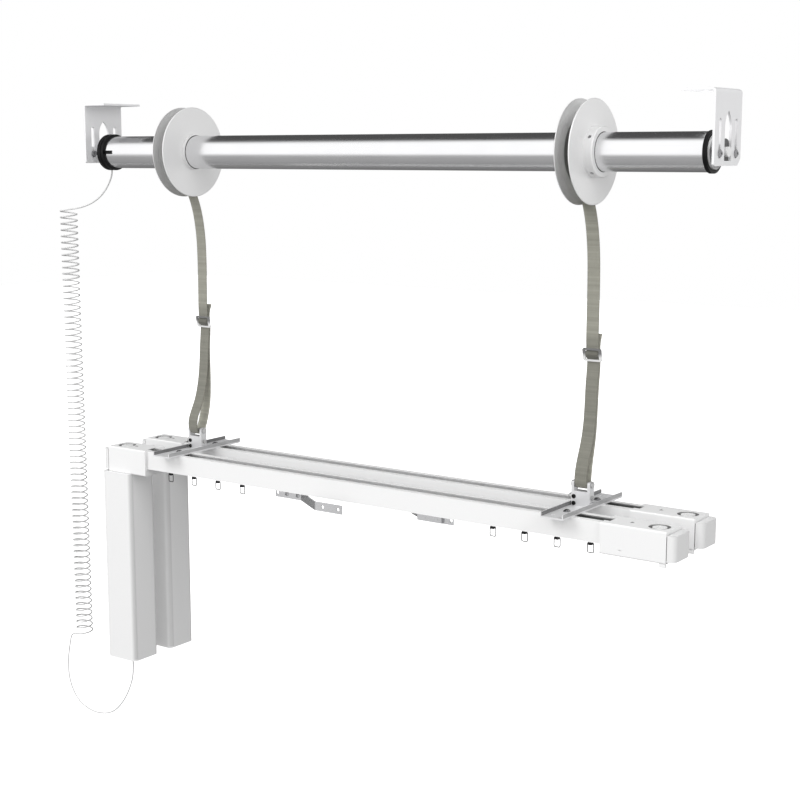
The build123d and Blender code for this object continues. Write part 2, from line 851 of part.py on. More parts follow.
def yoke_fixings(x):
    """Pin, cross bolt with its domed nut, front screws and the bolt from below, of one yoke."""
    half = yoke_width / 2
    bolt_z = channel_floor + yoke_bolt_rise
    pin = rod_x(yoke_pin_r, x - half - fixed_gap, x + half + fixed_gap, carriage_y, pin_z)
    for side in (-1, 1):
        end = x + side * (half + fixed_gap)
        pin += rod_x(yoke_pin_head_r, end, end + side * yoke_pin_head, carriage_y, pin_z)
    dome = Pos(x - half - nut_height, carriage_y, bolt_z) * Sphere(dome_r)
    skirt = rod_x(dome_nut_r, x - half - nut_height, x - half, carriage_y, bolt_z)
    head_side = rod_x(yoke_bolt_head_r, x + half, x + half + yoke_bolt_head, carriage_y, bolt_z)
    cross = rod_x(yoke_bolt_r, x - half, x + half, carriage_y, bolt_z) + dome + skirt + head_side
    front = carriage_y - yoke_depth / 2
    screws = [button_bolt(x + front_screw_x, front, channel_floor + rise, (0, -1, 0), front_screw_depth,
                          small_screw_r, small_screw_head_r, small_screw_head_height)
              for rise in front_screw_rises]
    below = button_bolt(x, carriage_y, track_top, (0, 0, -1), channel_sheet + lower_bolt_depth - bolt_end)
    return [pin, cross, below] + screws


def track_clamp(x, y):
    """A screw through the channel's floor and the nut it draws up in the track."""
    nut_top = track_top - track_wall - seat_gap
    nut = block(x - clamp_nut_width / 2, x + clamp_nut_width / 2, y - clamp_nut_length / 2,
                y + clamp_nut_length / 2, nut_top - clamp_nut_height, nut_top)
    nut -= rod_z(bolt_r + fixed_gap, nut_top - clamp_nut_height, nut_top, x, y)
    length = channel_floor - nut_top + clamp_nut_height
    return [button_bolt(x, y, channel_floor, (0, 0, 1), length), nut]


# Curtain tracks and their boxes

def track(y):
    """An extruded rail: an upper chamber for the clamps over a lower one for belt and gliders."""
    x0 = drive_box_end - track_insert
    x1 = return_box_end + track_insert
    half = track_width / 2
    inner = half - track_wall
    rail = block(x0, x1, y - half, y + half, track_bottom, track_top)
    upper_floor = track_top - track_wall - upper_chamber
    rail -= block(x0, x1, y - inner, y + inner, upper_floor, track_top - track_wall)
    rail -= block(x0, x1, y - track_slot / 2, y + track_slot / 2, upper_floor, track_top)
    rail -= block(x0, x1, y - inner, y + inner, chamber_bottom, chamber_top)
    rail -= block(x0, x1, y - lower_slot / 2, y + lower_slot / 2, track_bottom, chamber_bottom)
    return rail


def end_box(seam, end, pulley_x, mark_inset, y):
    """A box over a track's end, with a pocket for the track, room for the pulley and a round port."""
    side = 1 if end > seam else -1
    half = box_width / 2
    box = block(seam, end, y - half, y + half, box_bottom, box_top)
    box = fillet(box.edges().filter_by(Axis.X), box_corner)
    pocket = track_width / 2 + track_fit
    pocket_end = end - side * (track_insert + track_fit)
    box -= block(pocket_end, end, y - pocket, y + pocket, track_bottom - track_fit, track_top + track_fit)
    notch_start = end - side * sleeve_notch
    box -= block(notch_start, end, y - track_slot / 2, y + track_slot / 2, track_top, box_top)
    box -= block(pulley_x, pocket_end, y - chamber_r, y + chamber_r, chamber_bottom, chamber_top)
    box -= rod_z(chamber_r, chamber_bottom, chamber_top, pulley_x, y)
    box -= rod_z(port_r, chamber_top, box_top, pulley_x, y)
    mark = extrude(RegularPolygon(mark_side / math.sqrt(3), 3), amount=-mark_depth)
    return box - Pos(seam + side * mark_inset, y, box_top) * mark


def drive_box(y):
    """The box over the curtain motor, bored for the pulley's shaft."""
    box = end_box(drive_box_seam, drive_box_end, drive_pulley_x, drive_mark_inset, y)
    return box - rod_z(pulley_shaft_r + slide_gap, box_bottom, chamber_bottom, drive_pulley_x, y)


def return_box(y):
    """The box at the idle end, with a blind bore for the pulley's stub."""
    box = end_box(return_box_seam, return_box_end, return_pulley_x, return_mark_inset, y)
    stub_end = belt_z - belt_height / 2 - pulley_flange - return_stub_length
    bore_end = stub_end - shaft_end_room
    box -= rod_z(pulley_shaft_r + running_gap, bore_end, chamber_bottom, return_pulley_x, y)
    recess = extrude(SlotOverall(recess_length, recess_width), amount=mark_depth, both=True)
    recess = Pos(return_box_seam - recess_inset, 0, box_bottom + recess_rise) * Rot(90, 0, 0) * recess
    for face in (y - box_width / 2, y + box_width / 2):
        box -= Pos(0, face, 0) * recess
    x1 = return_box_seam - tab_inset
    face = y - box_width / 2
    box += block(x1 - tab_width, x1, face, face + tab_thickness, box_bottom - tab_drop, box_bottom)
    return box


def box_cap(seam, side, y):
    """The rounded cap on the outer end of a box, past a narrow groove."""
    half = box_width / 2
    face = seam + side * cap_groove
    cap = block(face, seam + side * cap_length, y - half, y + half, cap_bottom, cap_top)
    edges = cap.edges().filter_by(Axis.Z)
    outer = edges.sort_by(Axis.X)[-2:] if side > 0 else edges.sort_by(Axis.X)[:2]
    inner = half - cap_groove_depth
    neck_low = cap_bottom + cap_groove_depth
    neck_high = cap_top - cap_groove_depth
    return fillet(outer, cap_corner) + block(seam, face, y - inner, y + inner, neck_low, neck_high)


# Belts and pulleys

def belt(y):
    """A closed belt round the two pulleys."""
    length = return_pulley_x - drive_pulley_x
    middle = (return_pulley_x + drive_pulley_x) / 2
    outer_r = belt_r + belt_thickness
    outline = SlotCenterToCenter(length, 2 * outer_r) - SlotCenterToCenter(length, 2 * belt_r)
    return Pos(middle, y, belt_z) * extrude(outline, amount=belt_height / 2, both=True)


def pulley(x, y, shaft_length):
    """A flanged belt pulley with a boss in the box's port and a shaft below it."""
    half = belt_height / 2 + running_gap
    body = rod_z(belt_r - running_gap, belt_z - half, belt_z + half, x, y)
    for side in (-1, 1):
        face = belt_z + side * half
        body += rod_z(pulley_flange_r, face, face + side * pulley_flange, x, y)
    body += rod_z(pulley_boss_r, belt_z + half, pulley_boss_top, x, y)
    socket = extrude(hexagon(pulley_socket), amount=-pulley_socket)
    body -= Pos(x, y, pulley_boss_top) * socket
    shaft_top = belt_z - half - pulley_flange
    return body + rod_z(pulley_shaft_r, shaft_top - shaft_length, shaft_top, x, y)


# Curtain motors

def motor_outline(shrink=0):
    width = curtain_motor_width - 2 * shrink
    depth = curtain_motor_depth - 2 * shrink
    return RectangleRounded(width, depth, curtain_motor_corner - shrink)


def curtain_motor(y):
    """The shell of a curtain motor, open at the bottom, with a hole in its top."""
    height = motor_shell_top - curtain_motor_bottom - motor_cap
    place = Pos(curtain_motor_x, y, motor_shell_top)
    shell = extrude(motor_outline(), amount=-height)
    hollow = Pos(0, 0, -curtain_motor_wall) * extrude(motor_outline(curtain_motor_wall), amount=-height)
    shell = place * (shell - hollow)
    hole_r = gearmotor_boss_r + fixed_gap
    return shell - rod_z(hole_r, motor_shell_top - curtain_motor_wall, motor_shell_top, drive_pulley_x, y)


def motor_bottom_cap(y):
    place = Pos(curtain_motor_x, y, curtain_motor_bottom)
    plate = extrude(motor_outline(), amount=motor_cap)
    rim = extrude(motor_outline(curtain_motor_wall + fixed_gap), amount=motor_cap + motor_cap_spigot)
    return place * (plate + rim)


def gearmotor(y):
    """The motor and gearbox inside the shell, with a socket for the pulley's shaft."""
    top = motor_shell_top - curtain_motor_wall - seat_gap
    x = curtain_motor_x
    half = gearmotor_width / 2
    depth = gearmotor_depth / 2
    body = block(x - half, x + half, y - depth, y + depth, top - gearmotor_length, top)
    body = fillet(body.edges().filter_by(Axis.Z), curtain_motor_corner - curtain_motor_wall)
    boss = rod_z(gearmotor_boss_r, top, motor_shell_top, drive_pulley_x, y)
    socket_bottom = belt_z - belt_height / 2 - pulley_flange - drive_shaft_length - shaft_end_room
    socket = rod_z(pulley_shaft_r + running_gap, socket_bottom, motor_shell_top, drive_pulley_x, y)
    return body + boss - socket


def motor_cord_gland():
    bottom = curtain_motor_bottom
    body = rod_z(cord_gland_r, bottom - cord_gland_length, bottom, cord_gland_x, track_front_y)
    lower_edge = body.edges().filter_by(GeomType.CIRCLE).sort_by(Axis.Z)[0]
    return chamfer(lower_edge, cord_gland_r / 3)


# Gliders and master carriers

def glider(x, y):
    """A moulded runner in the track and a wire eye in its neck."""
    floor = chamber_bottom + seat_gap
    half = glider_length / 2
    runner = block(x - half, x + half, y - runner_width / 2, y + runner_width / 2,
                   floor, floor + runner_height)
    neck = block(x - neck_length / 2, x + neck_length / 2, y - neck_width / 2, y + neck_width / 2,
                 neck_bottom, floor)
    wire_z = track_bottom - eye_drop
    runner += neck - rod_x(eye_wire_r + fixed_gap, x - neck_length, x + neck_length, y, wire_z)
    outline = Wire(RectangleRounded(eye_width, eye_height, eye_corner).edges())
    plane = Plane(origin=(x, y, wire_z - eye_height / 2), x_dir=(1, 0, 0), z_dir=(0, -1, 0))
    path = plane * outline
    start = Plane(origin=path @ 0, z_dir=path % 0)
    return runner, sweep(start * Circle(eye_wire_r), path=path)


def arm_strip():
    """The bent strip seen from above: inner run, jog and outer run, from its hidden end at X 0."""
    knee = arm_inner
    elbow = knee + arm_jog
    tip = elbow + arm_outer
    spine = [(0, 0), (knee, 0), (elbow, -arm_offset), (tip, -arm_offset)]
    half = arm_thickness / 2
    radii = [arm_bend + half] * 2
    left, left_radii = beside(spine, radii, half)
    right, right_radii = beside(spine, radii, -half)
    near = FilletPolyline(*left, radius=left_radii)
    far = FilletPolyline(*right, radius=right_radii)
    outline = make_face(near.edges() + far.edges() + [Line(left[0], right[0]), Line(left[-1], right[-1])])
    strip = extrude(outline, amount=-arm_height)
    hole_z = -arm_height / 2
    for x in arm_holes:
        y = 0 if x < knee else -arm_offset
        strip -= rod_y(arm_hole_r, y - arm_thickness, y + arm_thickness, x, hole_z)
    for x in arm_screws:
        strip -= rod_y(small_screw_r + fixed_gap, -arm_thickness, arm_thickness, x, hole_z)
    return strip


def master_left():
    """A carrier, its bent arm and the arm's screws, from the arm's hidden end at X 0 and Y 0."""
    half = arm_thickness / 2
    strip = Pos(0, -half - fixed_gap, arm_top) * arm_strip()
    floor = chamber_bottom + seat_gap
    middle = (tongue_start + tongue_end) / 2
    x0 = middle - carrier_length / 2
    x1 = middle + carrier_length / 2
    carrier = block(x0, x1, -runner_width / 2, runner_width / 2, floor, floor + runner_height)
    carrier += block(x0, x1, -carrier_clamp, 0, floor, carrier_clamp_top)
    tongue_top = track_bottom - seat_gap
    carrier += block(tongue_start, tongue_end, -neck_width / 2, neck_width / 2, tongue_top, floor)
    tongue = block(tongue_start, tongue_end, 0, tongue_thickness, arm_top - tongue_height, tongue_top)
    screw_z = arm_top - arm_height / 2
    screws = []
    for x in arm_screws:
        tongue -= rod_y(small_screw_r + fixed_gap, 0, tongue_thickness, x, screw_z)
        front = -arm_thickness - fixed_gap
        screws.append(button_bolt(x, front, screw_z, (0, -1, 0), arm_thickness + tongue_thickness,
                                  small_screw_r, small_screw_head_r, small_screw_head_height))
    return [carrier + tongue, strip] + screws


def master(y, left):
    """The right-hand carrier is the left-hand one turned half round."""
    if left:
        return [Pos(arm_left_end, y, 0) * shape for shape in master_left()]
    return [Pos(arm_right_end, y, 0) * Rot(0, 0, 180) * shape for shape in master_left()]


# Curly cord

def coil_point(turns):
    """A point of the coil's centre line and its direction, that many turns below the top."""
    top = Vector(coil_top)
    bottom = Vector(coil_bottom)
    share = turns / coil_turns
    angle = -2 * math.pi * turns - math.pi / 2
    point = top + (bottom - top) * share + Vector(coil_r * math.cos(angle), coil_r * math.sin(angle), 0)
    drop = (bottom - top) * (1 / coil_turns)
    around = Vector(math.sin(angle), -math.cos(angle), 0) * (2 * math.pi * coil_r)
    return point, (around + drop).normalized()


def coil_edges():
    """The coil's turns, each from two half turns of two arcs."""
    edges = []
    halves = 2 * coil_turns
    for half in range(halves):
        start, start_direction = coil_point(half / 2)
        end, end_direction = coil_point((half + 1) / 2)
        edges += biarc(start, start_direction, end, end_direction)
    return edges


def upper_lead():
    """The cord's route from the lift motor's gland to the coil."""
    x = head_gland_x()
    outlet = head_gland_top() - gland_r - gland_length
    start, direction = coil_point(0)
    before = start - direction * lead_straight
    return [(x, gland_y, outlet), (x, gland_y, outlet - 9), (-534.5, 9, -123), (-540.5, 5.5, -136),
            (-551, 0.5, -149.5), (-568, -6, -160.5), (-588, -11.5, -166.5), before, start]


def lower_lead():
    """The cord's route from the coil to the front curtain motor's gland."""
    start, direction = coil_point(coil_turns)
    after = start + direction * lead_straight
    outlet = curtain_motor_bottom - cord_gland_length
    y = track_front_y
    return [start, after, (-649.5, -15, -916), (-654.5, -17.5, -946), (-649.5, -20.5, -982),
            (-629.5, -23.5, -1008), (-602.5, -26.5, -1023.5), (-566, -29.5, -1026.5),
            (-528.5, -32, -1013.5), (-497.5, -34.5, -976), (-475.5, y + 0.5, -943),
            (cord_gland_x, y, outlet - 16), (cord_gland_x, y, outlet)]


def least_gap(points, skip, width):
    """The least gap between a cord and itself, on points that are some way apart along it."""
    closest = min(math.dist(a, b) for i, a in enumerate(points) for b in points[i + skip:])
    return closest - width


def curly_cord():
    """One unbroken tube: upper lead, coil and lower lead."""
    upper, upper_radii = route_wire(upper_lead())
    lower, lower_radii = route_wire(lower_lead())
    path = Wire(list(upper.edges()) + coil_edges() + list(lower.edges()))
    section = Plane(origin=path @ 0, z_dir=path % 0) * Circle(cord_r)
    cord = sweep(section, path=path)
    steps = range(points_per_turn * coil_turns + 1)
    points = [tuple(coil_point(step / points_per_turn)[0]) for step in steps]
    section_times_length = math.pi * cord_r ** 2 * path.length
    print("cord radii", [round(radius, 1) for radius in upper_radii + lower_radii])
    print("cord volume", round(cord.volume, 1), "section times length", round(section_times_length, 1))
    print("coil least gap", round(least_gap(points, points_per_turn // 2, 2 * cord_r), 2))
    return cord


def print_wound_gap():
    points = wound_points()
    print("wound strap least gap", round(least_gap(points, len(points) // 3, strap_thickness), 2))


def save_all():
    """Write every node of the part."""
    os.makedirs("parts", exist_ok=True)
    save("bracket_right", bracket_right())
    save("bracket_left", flip(bracket_right()))
    save("bracket_screws", *bracket_screws())
    save("lift_motor_head", *lift_motor_head())
    save("head_cord_gland", head_cord_gland())
    save("lift_motor_tube", lift_motor_tube())
    save("idler_holder", idler_holder())
    save("roller_tube", roller_tube())
    save("crown_ring", crown_ring())
    save("drive_wheel", *drive_wheel())
    save("end_plug", end_plug())
    save("idler_bearing", idler_bearing())
    save("strap_reel_left", *place_reel([strap_reel_right()], reel_left_x))
    save("strap_reel_right", *place_reel([strap_reel_right()], reel_right_x))
    save("reel_set_screws", *[screw for x in reel_xs for screw in place_reel(set_screws(), x)])
    save("wound_straps", *[piece for x in reel_xs for piece in wound_strap(x)])
    save("strap_upper_left", strap_upper(reel_left_x))
    save("strap_upper_right", strap_upper(reel_right_x))
    save("lower_straps", lower_strap(reel_left_x, loop_left), lower_strap(reel_right_x, loop_right))
    save("buckles", *[buckle(x) for x in reel_xs])
    save("cross_channels", *[cross_channel(x) for x in reel_xs])
    save("yokes", *[yoke(x) for x in reel_xs])
    save("yoke_fixings", *[piece for x in reel_xs for piece in yoke_fixings(x)])
    save("track_clamps", *[piece for x in reel_xs for y in track_ys for piece in track_clamp(x, y)])
    save("drive_boxes", *[drive_box(y) for y in track_ys])
    save("return_boxes", *[return_box(y) for y in track_ys])
    seams = ((drive_box_seam, -1), (return_box_seam, 1))
    save("box_caps", *[box_cap(seam, side, y) for seam, side in seams for y in track_ys])
    save("belts", *[belt(y) for y in track_ys])
    save("motor_bottom_caps", *[motor_bottom_cap(y) for y in track_ys])
    save("gearmotors", *[gearmotor(y) for y in track_ys])
    save("motor_cord_gland", motor_cord_gland())
    for row, y in (("front", track_front_y), ("rear", track_rear_y)):
        save("track_" + row, track(y))
        save("curtain_motor_" + row, curtain_motor(y))
        save("drive_pulley_" + row, pulley(drive_pulley_x, y, drive_shaft_length))
        save("return_pulley_" + row, pulley(return_pulley_x, y, return_stub_length))
        save("master_" + row + "_left", *master(y, True))
        save("master_" + row + "_right", *master(y, False))
        for number in range(glider_count):
            offset = number * glider_pitch
            save(f"glider_{row}_left_{number + 1}", *glider(-glider_first_left - offset, y))
            save(f"glider_{row}_right_{number + 1}", *glider(glider_first_right + offset, y))
    save("curly_cord", curly_cord())
    print_wound_gap()


save_all()
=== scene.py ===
import json
import math

import bpy
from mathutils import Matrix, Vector


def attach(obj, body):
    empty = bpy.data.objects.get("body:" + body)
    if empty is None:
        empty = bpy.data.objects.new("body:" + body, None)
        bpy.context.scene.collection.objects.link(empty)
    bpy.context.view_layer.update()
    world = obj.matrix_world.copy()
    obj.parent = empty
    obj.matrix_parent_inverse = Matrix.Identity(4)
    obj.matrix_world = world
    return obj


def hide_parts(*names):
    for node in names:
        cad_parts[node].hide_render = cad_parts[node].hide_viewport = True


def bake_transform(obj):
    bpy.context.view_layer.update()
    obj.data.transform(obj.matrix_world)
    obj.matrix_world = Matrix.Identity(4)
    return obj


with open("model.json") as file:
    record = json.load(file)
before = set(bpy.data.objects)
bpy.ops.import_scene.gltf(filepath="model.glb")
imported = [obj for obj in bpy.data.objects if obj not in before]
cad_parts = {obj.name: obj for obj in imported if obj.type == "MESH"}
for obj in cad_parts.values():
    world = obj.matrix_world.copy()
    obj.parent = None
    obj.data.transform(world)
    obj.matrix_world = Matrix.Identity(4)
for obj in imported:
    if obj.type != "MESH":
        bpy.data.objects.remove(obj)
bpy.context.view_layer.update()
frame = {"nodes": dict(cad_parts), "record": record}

# The looks of a motorized curtain lift system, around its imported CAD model.
# Lengths are in metres unless a name ends in _mm.

nodes = frame["nodes"]
mm = 0.001

# Camera, fitted to the photograph's straight edges
camera_place = (1.2909, -1.7492, -0.0787)
camera_azimuth = 35.33
camera_tilt_down = 9.23
camera_lens = 68.12
sensor_width = 36

# Webbing, in the side view as (Y, Z) points in millimetres, as in the CAD source
axis_z_mm = -76
reel_xs_mm = {"left": -350.5, "right": 346}
strap_width_mm = 18.5
strap_thickness_mm = 1.5
strap_exit_r_mm = 33
strap_exit_angle = 218.5
wound_pitch_mm = 1.9
wound_core_r_mm = 29
buckle_middle_mm = (25.5, -342)
buckle_tilt = 12
weave_side_mm = 2.05
weave_start_mm = 1.7
weave_end_mm = 5.8
weave_straight_mm = 9.2
rib_pitch_mm = 1.5
rib_depth_mm = 0.13
warp_pitch_mm = 0.9
strap_step_mm = 0.375
strap_columns = 12
turn_points = 24
wound_share = 0.96
wound_first_along_mm = -200

upper_route_mm = [
    (-2.5, -125.9), (8.8, -145), (16.5, -166), (21, -186), (24.6, -213), (25.6, -250),
    (25.2, -290), (24.8, -318)]
loops_mm = {
    "left": [
        (28.6, -362), (26.2, -384), (24.6, -410), (20.6, -438), (13.4, -463), (5.2, -478.5),
        (-2, -492), (-4.4, -503.5), (-2.4, -513.5), (3.4, -519.7), (11.6, -518.1), (17.6, -507.5),
        (23, -492), (27.2, -475.5), (29.2, -458), (30, -434), (29.6, -404), (29.4, -380),
        (31.4, -360), (31.8, -346), (30, -334), (31.2, -323), (35.4, -314.5)],
    "right": [
        (28.6, -362), (25.6, -384), (24.2, -410), (22, -434), (16.6, -456), (9, -474),
        (2.4, -490), (-0.4, -504.5), (0.4, -514.3), (5.9, -520.3), (11.5, -514.5), (12.8, -505),
        (14.6, -490.5), (18.4, -474), (22.6, -456), (25.6, -434), (27, -410), (28.6, -384),
        (31.4, -362), (31.8, -346), (30, -334), (31.2, -323), (35.4, -314.5)]}

# Places on the CAD model where one node changes its tone, mostly where painted shade starts or
# ends, in millimetres
tracks_y_mm = 6
track_offset_mm = 42
track_inner_mm = 16.5
track_heights_mm = (-574.2, -545.8)
track_lip_heights_mm = (-549.5, -548)
track_shaded_xs_mm = (300, 360)
pulley_xs_mm = (-465.5, 480)
port_r_mm = 14.8
port_heights_mm = (-574, -545.2)
mark_xs_mm = ((-449, -440), (436, 446))
mark_heights_mm = (-546.8, -544.6)
mark_offsets_mm = (36, 48)
channel_inner_mm = 15
channel_sheet_mm = 2
channel_above_floor_mm = (-543.2, -500)
wall_depth_mm = 0.2
motor_side_xs_mm = (-440.5, -437)
motor_corner_ys_mm = ((-66, -56), (18, 28))
cap_groove_xs_mm = ((-486.6, -485.3), (499.8, 501.1))
below_boss_mm = (-650, -555.8)
idler_neck_xs_mm = (524.4, 535.6)
yoke_front_ys_mm = (-20, 0.3)
glider_body_mm = (-583.1, -500)
reel_bore_r_mm = 25.8
reel_gap_mm = 19.4
reel_rim_radii_mm = (52, 68)
reel_root_radii_mm = (42, 44.5)

# Curly cord, in millimetres except for its length
cord_diameter_mm = 2.4
cord_sides = 8
cord_step_mm = 1.4
coil_r_mm = 13.3
coil_turns = 70
coil_top_mm = Vector((-624.5, 0, -171))
coil_bottom_mm = Vector((-620.5, 0, -898))
points_per_turn = 16
cord_exit_mm = Vector((-530.65, 11, -101.903))
cord_end_mm = Vector((-467.2, -36, -910.5))
upper_lead_mm = [
    (-530.65, 11, -110.9), (-534.5, 9, -123), (-540.5, 5.5, -136), (-551, 0.5, -149.5),
    (-568, -6, -160.5), (-588, -11.5, -166.5)]
lower_lead_mm = [
    (-642, -15, -918), (-646, -17.5, -949), (-641, -20.5, -984), (-621.5, -23.5, -1010),
    (-596, -26.5, -1021.5), (-561, -29.5, -1024.5), (-521, -32, -1013.5),
    (-489.5, -34.5, -981.5), (-471.5, -35.5, -947), (-467.2, -36, -926.5)]
lead_straight_mm = 18

# Stage
floor_z = -2.4
floor_size = 40


# Node helpers

def new_tree(name):
    """A material with an empty node tree and its output."""
    material = bpy.data.materials.new(name)
    material.use_nodes = True
    tree = material.node_tree
    tree.nodes.clear()
    return material, tree


def feed(tree, socket, value):
    """Give an input a value, or link it from another socket."""
    if isinstance(value, bpy.types.NodeSocket):
        tree.links.new(value, socket)
    else:
        socket.default_value = value


def add(tree, kind, settings=None, **inputs):
    """A node with its properties set and its inputs given as values or linked sockets."""
    node = tree.nodes.new("ShaderNode" + kind)
    for key, value in (settings or {}).items():
        setattr(node, key, value)
    for key, value in inputs.items():
        feed(tree, node.inputs[key.replace("_", " ")], value)
    return node


def math_node(tree, operation, first, second=0.0):
    node = add(tree, "Math", {"operation": operation})
    feed(tree, node.inputs[0], first)
    feed(tree, node.inputs[1], second)
    return node.outputs[0]


def ranged(tree, value, low, high, to_low, to_high, smooth=False):
    """A value mapped from one range to another."""
    kind = "SMOOTHSTEP" if smooth else "LINEAR"
    node = add(tree, "MapRange", {"interpolation_type": kind}, Value=value)
    node.inputs["From Min"].default_value = low
    node.inputs["From Max"].default_value = high
    node.inputs["To Min"].default_value = to_low
    node.inputs["To Max"].default_value = to_high
    return node.outputs[0]


def stretched_coordinates(tree, stretch):
    """Object coordinates scaled unevenly, so that noise becomes grain."""
    coordinates = add(tree, "TexCoord").outputs["Object"]
    return add(tree, "Mapping", Vector=coordinates, Scale=stretch).outputs[0]


def noise(tree, scale, detail=3.0, stretch=(1, 1, 1), roughness=0.5):
    vector = stretched_coordinates(tree, stretch)
    node = add(tree, "TexNoise", Vector=vector, Scale=scale, Detail=detail, Roughness=roughness)
    return node.outputs["Fac"]


def tinted(tree, factor, dark, light):
    """A colour between two, by a factor."""
    node = add(tree, "Mix", {"data_type": "RGBA"})
    tree.links.new(factor, node.inputs[0])
    node.inputs[6].default_value = (*dark, 1)
    node.inputs[7].default_value = (*light, 1)
    return node.outputs[2]


def places(tree):
    """The X, Y and Z of a point in the object's own frame, in millimetres."""
    position = add(tree, "TexCoord").outputs["Object"]
    parts = add(tree, "SeparateXYZ", Vector=position)
    return [math_node(tree, "MULTIPLY", parts.outputs[name], 1000) for name in "XYZ"]


def within(tree, value, low, high, edge=0.05):
    """1 between two limits and 0 outside them."""
    above = ranged(tree, value, low - edge, low + edge, 0, 1)
    below = ranged(tree, value, high - edge, high + edge, 1, 0)
    return math_node(tree, "MULTIPLY", above, below)


def radius_from(tree, first, second, first_centre, second_centre):
    """The distance of a point from a line along one axis, from its other two coordinates."""
    a = math_node(tree, "SUBTRACT", first, first_centre)
    b = math_node(tree, "SUBTRACT", second, second_centre)
    squares = math_node(tree, "ADD", math_node(tree, "MULTIPLY", a, a),
                        math_node(tree, "MULTIPLY", b, b))
    return math_node(tree, "SQRT", squares)


def shade(colour, share):
    return tuple(channel * share for channel in colour)


def surface(tree, **inputs):
    """The main shader and the output of a material."""
    shader = add(tree, "BsdfPrincipled", **inputs)
    output = add(tree, "OutputMaterial")
    tree.links.new(shader.outputs[0], output.inputs["Surface"])
    return shader


def bump(tree, height, distance, strength=1.0):
    return add(tree, "Bump", Height=height, Distance=distance, Strength=strength).outputs[0]


# Materials

def coated(name, colour, roughness, grain, depth, metallic=0.0, uneven=0.05, mask=None,
           masked=0.03, specular=0.5):
    """Paint or moulded plastic: a fine skin, uneven in colour and gloss.

    Where the mask is 1, the colour is scaled by masked; most masks use this to paint shade into the
    colour.
    """
    material, tree = new_tree(name)
    broad = noise(tree, 9, 4)
    fine = noise(tree, grain, 2)
    base = tinted(tree, broad, shade(colour, 1 - uneven), colour)
    if mask is not None:
        share = ranged(tree, mask(tree), 0, 1, 1, masked)
        base = add(tree, "VectorMath", {"operation": "SCALE"}, Vector=base, Scale=share).outputs[0]
    gloss = ranged(tree, fine, 0.3, 0.7, roughness * 0.85, roughness * 1.15)
    surface(tree, Base_Color=base, Metallic=metallic, Roughness=gloss, Specular_IOR_Level=specular,
            Normal=bump(tree, fine, depth))
    return material


def brushed(name, colour, roughness, stretch, depth, uneven=0.12):
    """Metal with a grain along one direction."""
    material, tree = new_tree(name)
    grain = noise(tree, 600, 3, stretch)
    broad = noise(tree, 14, 4)
    both = math_node(tree, "MULTIPLY", grain, broad)
    base = tinted(tree, ranged(tree, both, 0.15, 0.4, 0, 1), shade(colour, 1 - uneven), colour)
    gloss = ranged(tree, grain, 0.3, 0.7, roughness * 0.8, roughness * 1.2)
    surface(tree, Base_Color=base, Metallic=1.0, Roughness=gloss, Normal=bump(tree, grain, depth))
    return material


def levels(tree, value, stops):
    """A level that runs straight between stops, each a value and its level of at most 2."""
    low = stops[0][0]
    high = stops[-1][0]
    ramp = add(tree, "ValToRGB", Fac=ranged(tree, value, low, high, 0, 1))
    elements = ramp.color_ramp.elements
    while len(elements) < len(stops):
        elements.new(0.5)
    for element, (place, level) in zip(elements, stops):
        element.position = (place - low) / (high - low)
        element.color = (level / 2, level / 2, level / 2, 1)
    return math_node(tree, "MULTIPLY", ramp.outputs["Color"], 2)


def webbing(name, stops):
    """Woven polyester: cross ribs of twisted yarn and darker lines between the warp ends.

    The tone changes by the stops along the strap's length, in millimetres; the stops paint light
    and shade onto the strap.
    """
    material, tree = new_tree(name)
    uv = add(tree, "UVMap", {"uv_map": "weave"}).outputs[0]
    parts = add(tree, "SeparateXYZ", Vector=uv)
    across = parts.outputs["X"]
    along = parts.outputs["Y"]
    rib_phase = math_node(tree, "MULTIPLY", along, 2 * math.pi / rib_pitch_mm)
    rib = math_node(tree, "SINE", rib_phase)
    warp_phase = math_node(tree, "MULTIPLY", across, 2 * math.pi / warp_pitch_mm)
    shifted = math_node(tree, "ADD", warp_phase, math_node(tree, "MULTIPLY", rib_phase, 0.5))
    warp = math_node(tree, "SINE", shifted)
    weave = math_node(tree, "ADD", math_node(tree, "MULTIPLY", rib, 0.5),
                      math_node(tree, "MULTIPLY", warp, 0.4))
    long_streaks = noise(tree, 60, 3, (0.4, 1, 1))
    bands = add(tree, "TexNoise", {"noise_dimensions": "1D"}, W=along, Scale=0.16, Detail=5.0,
                Roughness=0.7)
    tone = math_node(tree, "ADD", math_node(tree, "MULTIPLY", weave, 0.22), bands.outputs["Fac"])
    tone = math_node(tree, "ADD", tone, math_node(tree, "MULTIPLY", long_streaks, 0.3))
    dark_yarn = (0.19, 0.187, 0.158)
    light_yarn = (0.34, 0.335, 0.285)
    base = tinted(tree, ranged(tree, tone, 0.2, 1.15, 0, 1), dark_yarn, light_yarn)
    base = add(tree, "VectorMath", {"operation": "SCALE"}, Vector=base,
               Scale=levels(tree, along, stops)).outputs[0]
    surface(tree, Base_Color=base, Roughness=0.85, Sheen_Weight=0.25,
            Normal=bump(tree, weave, 0.00012, 0.8))
    return material


def from_tracks_middle(tree, y):
    """The distance from the plane midway between the two tracks."""
    return math_node(tree, "ABSOLUTE", math_node(tree, "SUBTRACT", y, tracks_y_mm))


def track_slot_shade(tree):
    """Painted shade on the inner faces of both tracks, strongest near the lips and at the right."""
    x, y, z = places(tree)
    offset = math_node(tree, "SUBTRACT", from_tracks_middle(tree, y), track_offset_mm)
    from_track = math_node(tree, "ABSOLUTE", offset)
    inside = math_node(tree, "MULTIPLY", within(tree, from_track, -1, track_inner_mm),
                       within(tree, z, *track_heights_mm))
    lips = ranged(tree, z, *track_lip_heights_mm, 0.12, 0.7)
    right = ranged(tree, x, *track_shaded_xs_mm, 0, 1)
    return math_node(tree, "MULTIPLY", inside, math_node(tree, "MAXIMUM", lips, right))


